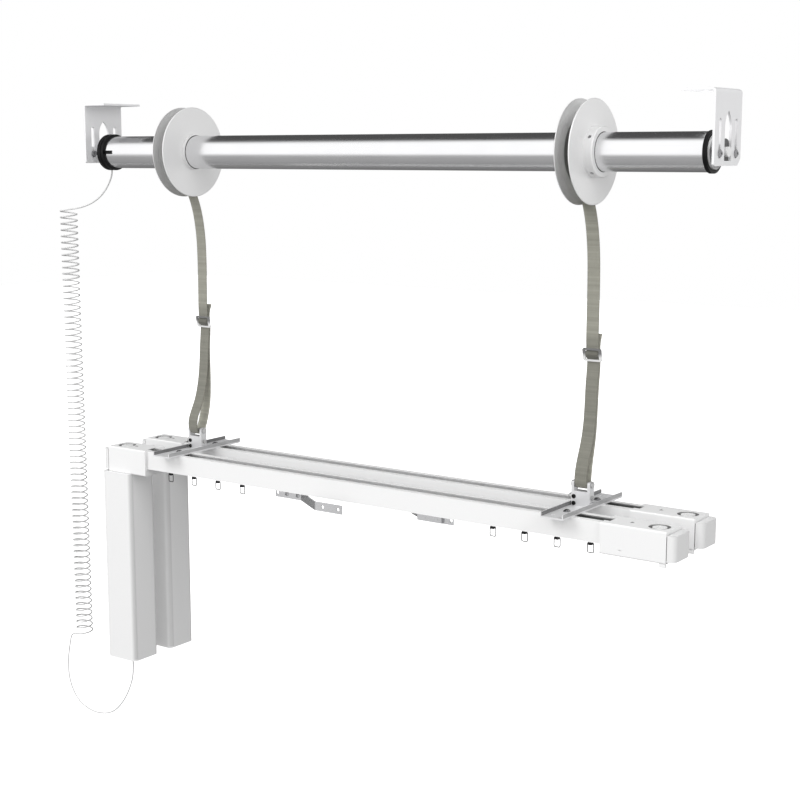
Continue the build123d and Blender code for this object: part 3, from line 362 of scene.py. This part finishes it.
def port_shade_and_marks(tree):
    """Painted shade on the walls of the round ports over the pulleys, and the small marks beside
    them.
    """
    x, y, z = places(tree)
    from_middle = from_tracks_middle(tree, y)
    found = []
    for pulley_x in pulley_xs_mm:
        radius = radius_from(tree, x, from_middle, pulley_x, track_offset_mm)
        found.append(within(tree, radius, -1, port_r_mm))
    ports = math_node(tree, "MULTIPLY", math_node(tree, "MAXIMUM", *found),
                      within(tree, z, *port_heights_mm))
    marks = math_node(tree, "MAXIMUM", *[within(tree, x, *limits) for limits in mark_xs_mm])
    marks = math_node(tree, "MULTIPLY", marks, within(tree, z, *mark_heights_mm))
    marks = math_node(tree, "MULTIPLY", marks, within(tree, from_middle, *mark_offsets_mm))
    return math_node(tree, "MAXIMUM", ports, marks)


def channel_wall_shade(tree):
    """Painted shade on the inner face of each channel's left wall, and half as much on its right
    wall's outer face.
    """
    x, _, z = places(tree)
    faces = []
    for middle in reel_xs_mm.values():
        inner_x = middle - channel_inner_mm
        outer_x = middle + channel_inner_mm + channel_sheet_mm
        inner = within(tree, x, inner_x - wall_depth_mm, inner_x + wall_depth_mm)
        outer = within(tree, x, outer_x - wall_depth_mm, outer_x + wall_depth_mm)
        faces.append(math_node(tree, "MAXIMUM", inner, math_node(tree, "MULTIPLY", outer, 0.55)))
    above_floor = within(tree, z, *channel_above_floor_mm)
    return math_node(tree, "MULTIPLY", math_node(tree, "MAXIMUM", *faces), above_floor)


def motor_corner_shade(tree):
    """Painted shade on the side half of each curtain motor's front right corner, which makes the
    rounded corner look sharper.
    """
    x, y, _ = places(tree)
    near_side = ranged(tree, x, *motor_side_xs_mm, 0, 1)
    corners = [within(tree, y, *limits, 1) for limits in motor_corner_ys_mm]
    return math_node(tree, "MULTIPLY", near_side, math_node(tree, "MAXIMUM", *corners))


def buckle_top_reflection(tree):
    """A painted dark reflection on the upper part of a buckle, standing in for the dark webbing it
    would mirror.
    """
    _, _, z = places(tree)
    return ranged(tree, z, buckle_middle_mm[1] - 3, buckle_middle_mm[1] + 2, 0, 1)


def cap_groove_shade(tree):
    # Painted shade in the groove of each box cap.
    x, _, _ = places(tree)
    return math_node(tree, "MAXIMUM", *[within(tree, x, *limits) for limits in cap_groove_xs_mm])


def pulley_shade_below_boss(tree):
    """Painted shade on the flanges and shaft of a pulley, below its boss."""
    _, _, z = places(tree)
    return within(tree, z, *below_boss_mm)


def idler_neck_shade(tree):
    """Painted shade on the neck and ears behind the right bracket, seen through its slot."""
    x, _, _ = places(tree)
    return within(tree, x, *idler_neck_xs_mm)


def reel_light_and_shade(tree):
    """Painted light and shade: the inner faces are kept lighter than the outer faces, with painted
    shade at their rims and roots and in the dark gap round the tube.
    """
    x, y, z = places(tree)
    radius = radius_from(tree, y, z, 0, axis_z_mm)
    gaps = [within(tree, x, middle - reel_gap_mm / 2, middle + reel_gap_mm / 2)
            for middle in reel_xs_mm.values()]
    inner = math_node(tree, "MAXIMUM", *gaps)
    outer_face_shade = math_node(tree, "MULTIPLY", math_node(tree, "SUBTRACT", 1.0, inner), 0.134)
    rim_or_root_shade = math_node(tree, "MAXIMUM", ranged(tree, radius, *reel_rim_radii_mm, 0, 0.3),
                            ranged(tree, radius, *reel_root_radii_mm, 0.75, 0))
    inner_face_shade = math_node(tree, "MULTIPLY", inner, rim_or_root_shade)
    bore_shadow = within(tree, radius, -1, reel_bore_r_mm)
    return math_node(tree, "MAXIMUM", bore_shadow, math_node(tree, "ADD", outer_face_shade, inner_face_shade))


def yoke_front(tree):
    """The fixings' parts at the front of each yoke, which are drawn darker."""
    _, y, _ = places(tree)
    return within(tree, y, *yoke_front_ys_mm)


def glider_material():
    """Dark moulded runner and neck over a wire eye, told apart by height."""
    material, tree = new_tree("glider")
    _, _, z = places(tree)
    above = within(tree, z, *glider_body_mm)
    fine = noise(tree, 900, 2)
    base = tinted(tree, above, (0.02, 0.02, 0.02), (0.012, 0.012, 0.013))
    gloss = ranged(tree, fine, 0.3, 0.7, 0.3, 0.42)
    surface(tree, Base_Color=base, Roughness=gloss, Specular_IOR_Level=0.2,
            Normal=bump(tree, fine, 0.00001))
    return material


# Painted light and shade along the straps, in millimetres along each: dark on the wound turns and
# at the buckles, lighter on the hanging runs and on each loop's back ply and tail
hanging_light_and_shade = [
    (-202, 0.42), (-14, 0.42), (0, 1.12), (230, 1.12), (234, 0.88), (249, 0.8), (253.2, 0.5),
    (258, 0.48)]
loop_light_and_shade = [
    (0, 0.45), (7, 0.5), (11, 0.84), (60, 0.78), (165, 0.74), (185, 0.8), (200, 1.7), (345, 1.7),
    (372, 1.45), (400, 1.5)]
alike = (1, 1, 1)
looks = {
    "bracket_paint": coated("bracket_paint", (0.88, 0.88, 0.89), 0.42, 900, 0.00002, 0.25),
    "zinc_steel": brushed("zinc_steel", (0.34, 0.34, 0.35), 0.28, alike, 0.000004),
    "white_plastic": coated("white_plastic", (0.86, 0.86, 0.86), 0.38, 1400, 0.00001, 0, 0.02),
    "motor_steel": coated("motor_steel", (0.05, 0.05, 0.055), 0.4, 900, 0.00002),
    "brushed_tube": brushed("brushed_tube", (0.80, 0.80, 0.81), 0.21, (0.02, 1, 1), 0.000002,
                            0.05),
    "black_plastic": coated("black_plastic", (0.005, 0.005, 0.0055), 0.4, 700, 0.00003,
                            specular=0.15),
    # Reel paint: its full colour is painted light on the flanges' inner faces, and the mask paints
    # shade on the rest
    "reel_paint": coated("reel_paint", (0.97, 0.97, 0.97), 0.36, 1200, 0.00001, 0.4, 0.03,
                         reel_light_and_shade),
    "webbing": webbing("webbing", hanging_light_and_shade),
    # Buckle chrome, with a painted dark reflection on the upper part of each buckle
    "buckle_chrome": coated("buckle_chrome", (0.95, 0.95, 0.95), 0.12, 900, 0.000002, 0.3, 0.02,
                            buckle_top_reflection, 0.25),
    # Channel alloy, with painted shade on the channel walls
    "channel_alloy": coated("channel_alloy", (0.76, 0.76, 0.77), 0.36, 900, 0.00001, 0.2, 0.05,
                            channel_wall_shade, 0.25),
    "yoke_alloy": coated("yoke_alloy", (0.68, 0.68, 0.69), 0.36, 900, 0.00002, 0.5),
    # Track paint, with painted shade inside the slots
    "track_paint": coated("track_paint", (0.86, 0.86, 0.86), 0.34, 1100, 0.00001, 0, 0.02,
                          track_slot_shade, 0.35),
    # Motor paint, with painted shade at the motors' front right corners
    "motor_paint": coated("motor_paint", (0.84, 0.84, 0.84), 0.36, 1100, 0.00002, 0, 0.02,
                          motor_corner_shade, 0.78),
    "gearmotor_alloy": brushed("gearmotor_alloy", (0.5, 0.5, 0.5), 0.35, alike, 0.00001),
    "belt_rubber": coated("belt_rubber", (0.02, 0.02, 0.02), 0.6, 600, 0.00004),
    "zinc_strip": brushed("zinc_strip", (0.58, 0.58, 0.59), 0.26, (0.05, 1, 1), 0.000004),
    "glider_plastic": glider_material(),
    "white_cord": coated("white_cord", (0.68, 0.68, 0.68), 0.4, 900, 0.00001, 0, 0.03),
}


def white_moulding(name, level, mask, masked=0.03):
    """White plastic for a node whose slot has one look, with painted shade where the mask is 1."""
    return coated(name, (level, level, level), 0.38, 1400, 0.00001, 0, 0.02, mask, masked)


# White boxes with painted shade in the ports over the pulleys
boxes = white_moulding("white_box_port_shade", 0.86, port_shade_and_marks, 0.3)
pulleys = white_moulding("white_pulley_shaded", 0.86, pulley_shade_below_boss)
special_looks = {
    "drive_boxes": boxes, "return_boxes": boxes,
    "box_caps": white_moulding("white_cap_groove_shade", 0.80, cap_groove_shade),
    "idler_holder": white_moulding("white_holder_neck_shade", 0.9, idler_neck_shade, 0.06),
    "drive_pulley_front": pulleys, "drive_pulley_rear": pulleys,
    "return_pulley_front": pulleys, "return_pulley_rear": pulleys,
    "yoke_fixings": coated("dark_fixings", (0.5, 0.5, 0.5), 0.3, 900, 0.00001, 0.8, 0.05,
                           yoke_front, 0.04)}
loop_webbing = webbing("loop_webbing", loop_light_and_shade)


def finish_nodes():
    """Every CAD node gets the look of its material slot."""
    slots = {part["node"]: part["material_slot"] for part in frame["record"]["subparts"]}
    for name, piece in nodes.items():
        piece.data.materials.clear()
        piece.data.materials.append(special_looks.get(name, looks[slots[name]]))


# Routes

def spline_points(points_mm, resolution):
    """Points in metres along a NURBS spline whose control points are given in millimetres."""
    curve = bpy.data.curves.new("route", "CURVE")
    curve.dimensions = "3D"
    curve.resolution_u = resolution
    spline = curve.splines.new("NURBS")
    spline.points.add(len(points_mm) - 1)
    for point, place in zip(spline.points, points_mm):
        point.co = (*(Vector(place) * mm), 1)
    spline.order_u = 3
    spline.use_endpoint_u = True
    holder = bpy.data.objects.new("route", curve)
    mesh = bpy.data.meshes.new_from_object(holder)
    line = [vertex.co.copy() for vertex in mesh.vertices]
    bpy.data.objects.remove(holder)
    bpy.data.curves.remove(curve)
    bpy.data.meshes.remove(mesh)
    return line


def evenly_spaced(line, step):
    """The same line at points a fixed distance apart."""
    lengths = [0.0]
    for before, after in zip(line, line[1:]):
        lengths.append(lengths[-1] + (after - before).length)
    count = max(2, round(lengths[-1] / step))
    spaced = []
    segment = 0
    for index in range(count + 1):
        target = lengths[-1] * index / count
        while segment < len(line) - 2 and lengths[segment + 1] < target:
            segment += 1
        span = lengths[segment + 1] - lengths[segment]
        share = (target - lengths[segment]) / span if span else 0
        spaced.append(line[segment].lerp(line[segment + 1], share))
    return spaced


def buckle_point(down, back):
    """A (Y, Z) point at a buckle, from its middle: down along its face and back from it."""
    tilt = math.radians(buckle_tilt)
    y, z = buckle_middle_mm
    return (y + down * math.sin(tilt) + back * math.cos(tilt),
            z - down * math.cos(tilt) + back * math.sin(tilt))


# Webbing

def strap_mesh(name, side_route_mm, x_mm, look, first_along_mm=0.0):
    """A strap along a route in the side view, with rounded selvedges and a rib at every pick."""
    route = [(x_mm, y, z) for y, z in side_route_mm]
    line = evenly_spaced(spline_points(route, 24), strap_step_mm * mm)
    half_width = strap_width_mm / 2
    half_thick = strap_thickness_mm / 2
    rib = rib_depth_mm / 2
    vertices = []
    weave = []
    columns = strap_columns
    for index, centre in enumerate(line):
        ahead = line[min(index + 1, len(line) - 1)] - line[max(index - 1, 0)]
        normal = Vector((0, -ahead.z, ahead.y)).normalized()
        along = first_along_mm + index * strap_step_mm
        wave = math.sin(2 * math.pi * along / rib_pitch_mm)
        for face in (1, -1):
            for column in range(columns + 1):
                across = -half_width + strap_width_mm * column / columns
                across *= face
                edge = 1 - (across / half_width) ** 12
                thick = (half_thick - rib) * (0.55 + 0.45 * edge) + rib * wave * edge
                vertices.append(centre + Vector((across * mm, 0, 0)) + normal * (face * thick * mm))
                weave.append((across, along))
    ring = 2 * (columns + 1)
    faces = []
    for row in range(len(line) - 1):
        for step in range(ring):
            following = (step + 1) % ring
            faces.append((row * ring + step, row * ring + following,
                          (row + 1) * ring + following, (row + 1) * ring + step))
    last = (len(line) - 1) * ring
    faces.append(tuple(range(ring))[::-1])
    faces.append(tuple(last + step for step in range(ring)))
    mesh = bpy.data.meshes.new(name)
    mesh.from_pydata(vertices, [], faces)
    mesh.shade_smooth()
    layer = mesh.uv_layers.new(name="weave")
    for loop in mesh.loops:
        layer.data[loop.index].uv = weave[loop.vertex_index]
    mesh.materials.append(look)
    piece = bpy.data.objects.new(name, mesh)
    bpy.context.scene.collection.objects.link(piece)
    return piece


def turn_route(outer_r, pitch, share):
    """Points in the side view along part of a turn on a reel, up to where the strap leaves it."""
    count = round(share * turn_points)
    route = []
    for step in range(count, -1, -1):
        angle = math.radians(strap_exit_angle - 360 * step / turn_points)
        radius = outer_r - pitch * step / turn_points
        route.append((radius * math.cos(angle), axis_z_mm + radius * math.sin(angle)))
    return route


def upper_strap(side):
    """The outer turn on a reel and the hanging run.

    The turn stays where it is while the layers below it turn with the reel.
    """
    turn = turn_route(strap_exit_r_mm, wound_pitch_mm, 1)
    turn_length = 2 * math.pi * (strap_exit_r_mm - wound_pitch_mm / 2)
    route = [*turn, *upper_route_mm,
             buckle_point(-weave_straight_mm, weave_side_mm),
             buckle_point(-weave_end_mm, weave_side_mm),
             buckle_point(-weave_start_mm, -weave_side_mm), buckle_point(0, -weave_side_mm)]
    piece = strap_mesh("webbing_upper_" + side, route, reel_xs_mm[side], looks["webbing"],
                       -turn_length)
    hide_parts("strap_upper_" + side)
    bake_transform(piece)
    return piece


def lower_strap(side):
    route = [buckle_point(0, -weave_side_mm), buckle_point(weave_start_mm, -weave_side_mm),
             buckle_point(weave_end_mm, weave_side_mm),
             buckle_point(weave_straight_mm, weave_side_mm), *loops_mm[side]]
    piece = strap_mesh("webbing_loop_" + side, route, reel_xs_mm[side], loop_webbing)
    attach(piece, "carriage")
    return piece


def wound_strap(side):
    """The layer of webbing below the outer turn, which turns with the reel."""
    route = turn_route(wound_core_r_mm, 0, wound_share)
    piece = strap_mesh("webbing_wound_" + side, route, reel_xs_mm[side], looks["webbing"],
                       wound_first_along_mm)
    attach(piece, "roller")
    return piece


def add_webbing():
    loops = []
    wound = []
    for side in reel_xs_mm:
        upper_strap(side)
        loops.append(lower_strap(side))
        wound.append(wound_strap(side))
    for piece in loops:
        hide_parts("lower_straps")
    for piece in wound:
        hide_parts("wound_straps")


# Curly cord

def tube_mesh(name, line, radius, sides):
    """A round tube along a line, carried along without twist and closed at both ends."""
    vertices = []
    faces = []
    direction = (line[1] - line[0]).normalized()
    side = direction.orthogonal().normalized()
    for index, centre in enumerate(line):
        ahead = (line[min(index + 1, len(line) - 1)] - line[max(index - 1, 0)]).normalized()
        side = (side - ahead * side.dot(ahead)).normalized()
        up = ahead.cross(side)
        for step in range(sides):
            angle = 2 * math.pi * step / sides
            vertices.append(centre + (side * math.cos(angle) + up * math.sin(angle)) * radius)
    for row in range(len(line) - 1):
        for step in range(sides):
            following = (step + 1) % sides
            faces.append((row * sides + step, row * sides + following,
                          (row + 1) * sides + following, (row + 1) * sides + step))
    last = (len(line) - 1) * sides
    faces.append(tuple(range(sides))[::-1])
    faces.append(tuple(last + step for step in range(sides)))
    mesh = bpy.data.meshes.new(name)
    mesh.from_pydata(vertices, [], faces)
    mesh.shade_smooth()
    return mesh


def coil_point(turns, radius):
    """A point of the coil and its direction, that many turns below the top."""
    angle = -2 * math.pi * turns - math.pi / 2
    middle = coil_top_mm.lerp(coil_bottom_mm, turns / coil_turns)
    point = middle + Vector((radius * math.cos(angle), radius * math.sin(angle), 0))
    drop = (coil_bottom_mm - coil_top_mm) / coil_turns
    around = Vector((math.sin(angle), -math.cos(angle), 0)) * (2 * math.pi * radius)
    return point, (around + drop).normalized()


def curly_cord():
    """The power cord: a lead from the lift motor, a coil and a lead to the front curtain motor."""
    control_r = coil_r_mm / math.cos(math.pi / points_per_turn)
    count = coil_turns * points_per_turn
    coil = [coil_point(step / points_per_turn, control_r)[0] for step in range(count + 1)]
    start, start_direction = coil_point(0, coil_r_mm)
    end, end_direction = coil_point(coil_turns, coil_r_mm)
    route = [cord_exit_mm, *upper_lead_mm, start - start_direction * lead_straight_mm, *coil,
             end + end_direction * lead_straight_mm, *lower_lead_mm, cord_end_mm]
    line = evenly_spaced(spline_points(route, 12), cord_step_mm * mm)
    mesh = tube_mesh("curly_power_cord", line, cord_diameter_mm / 2 * mm, cord_sides)
    mesh.materials.append(looks["white_cord"])
    piece = bpy.data.objects.new("curly_power_cord", mesh)
    bpy.context.scene.collection.objects.link(piece)
    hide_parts("curly_cord")
    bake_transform(piece)


# Stage, light and camera

def world_level(tree, forward, edge, above, upper_back, upper_front, lower_back, lower_front):
    """A sky of four quarters, in front of the object and behind it, above it and below."""
    front = ranged(tree, forward, *edge, 0, 1, True)
    upper = ranged(tree, front, 0, 1, upper_back, upper_front)
    lower = ranged(tree, forward, -0.9, 0.9, lower_back, lower_front)
    share = math_node(tree, "SUBTRACT", 1.0, above)
    return math_node(tree, "ADD", math_node(tree, "MULTIPLY", upper, above),
                     math_node(tree, "MULTIPLY", lower, share))


def either(tree, choice, first, second):
    """The second level where the choice is 1 and the first elsewhere."""
    node = add(tree, "Mix", {"data_type": "FLOAT"})
    for place, value in ((0, choice), (2, first), (3, second)):
        feed(tree, node.inputs[place], value)
    return node.outputs[0]


def studio_world():
    """White to the camera. As light it is a bright upper front over a grey lower half."""
    world = bpy.data.worlds.new("studio")
    bpy.context.scene.world = world
    world.use_nodes = True
    tree = world.node_tree
    tree.nodes.clear()
    direction = add(tree, "TexCoord").outputs["Generated"]
    parts = add(tree, "SeparateXYZ", Vector=direction)
    forward = math_node(tree, "MULTIPLY", parts.outputs["Y"], -1)
    tilted = math_node(tree, "ADD", parts.outputs["Z"], math_node(tree, "MULTIPLY", forward, 0.25))
    seen_above = ranged(tree, tilted, -0.2, 0.04, 0, 1, True)
    above = ranged(tree, tilted, -0.06, 0.08, 0, 1, True)
    glossy = world_level(tree, forward, (0.06, 0.44), seen_above, upper_back=0.085,
                         upper_front=1.3, lower_back=0.15, lower_front=0.5)
    soft = world_level(tree, forward, (-0.06, 0.16), above, upper_back=0.3, upper_front=1.12,
                       lower_back=0.2, lower_front=0.44)
    right = ranged(tree, parts.outputs["X"], 0.0, 0.35, 0, 1, True)
    glossy = either(tree, right, glossy, 0.95)
    rays = add(tree, "LightPath").outputs
    level = either(tree, rays["Is Diffuse Ray"], glossy, soft)
    strength = either(tree, rays["Is Camera Ray"], level, 1.0)
    light = add(tree, "Background", Color=(1, 1, 1, 1), Strength=strength)
    output = add(tree, "OutputWorld")
    tree.links.new(light.outputs[0], output.inputs["Surface"])


def place_light(light, place, aim):
    """An object that holds a light, turned to what it lights and unseen in reflections."""
    holder = bpy.data.objects.new(light.name, light)
    holder.location = place
    holder.rotation_euler = (Vector(aim) - Vector(place)).to_track_quat("-Z", "Y").to_euler()
    holder.visible_glossy = False
    bpy.context.scene.collection.objects.link(holder)
    return holder


def area_light(name, place, aim, size, power):
    light = bpy.data.lights.new(name, "AREA")
    light.shape = "DISK"
    light.size = size
    light.energy = power
    place_light(light, place, aim).visible_camera = False


def spot_light(name, place, aim, angle, power):
    light = bpy.data.lights.new(name, "SPOT")
    light.energy = power
    light.spot_size = math.radians(angle)
    light.spot_blend = 0.15
    light.shadow_soft_size = 0.02
    place_light(light, place, aim)


def plain_floor():
    """A pale floor, well below the object's lowest reach."""
    half = floor_size / 2
    mesh = bpy.data.meshes.new("floor")
    mesh.from_pydata([(-half, -half, floor_z), (half, -half, floor_z), (half, half, floor_z),
                      (-half, half, floor_z)], [], [(0, 1, 2, 3)])
    material, tree = new_tree("floor")
    surface(tree, Base_Color=(0.9, 0.9, 0.9, 1), Roughness=0.9,
            Emission_Color=(1, 1, 1, 1), Emission_Strength=0.9)
    mesh.materials.append(material)
    floor = bpy.data.objects.new("floor", mesh)
    bpy.context.scene.collection.objects.link(floor)
    floor.visible_glossy = False
    floor.visible_diffuse = False


def add_camera():
    camera = bpy.data.cameras.new("camera")
    camera.lens = camera_lens
    camera.sensor_width = sensor_width
    camera.clip_start = 0.01
    holder = bpy.data.objects.new("camera", camera)
    holder.location = camera_place
    holder.rotation_euler = (math.radians(90 - camera_tilt_down), 0, math.radians(camera_azimuth))
    bpy.context.scene.collection.objects.link(holder)
    bpy.context.scene.camera = holder


finish_nodes()
add_webbing()
curly_cord()
studio_world()
area_light("key", (-1.2, -2.6, 1.8), (0, 0, -0.4), 2.0, 42)
area_light("overhead", (0.2, -0.4, 2.2), (0, 0, -0.5), 2.0, 8)
area_light("right_fill", (1.9, -0.6, 0.6), (0.2, 0, -0.2), 1.0, 10)
spot_light("bracket_spot", (0.25, 0.55, -0.35), (0.482, -0.01, 0.02), 10, 60)
plain_floor()
add_camera()
bpy.context.scene.view_settings.view_transform = "Standard"
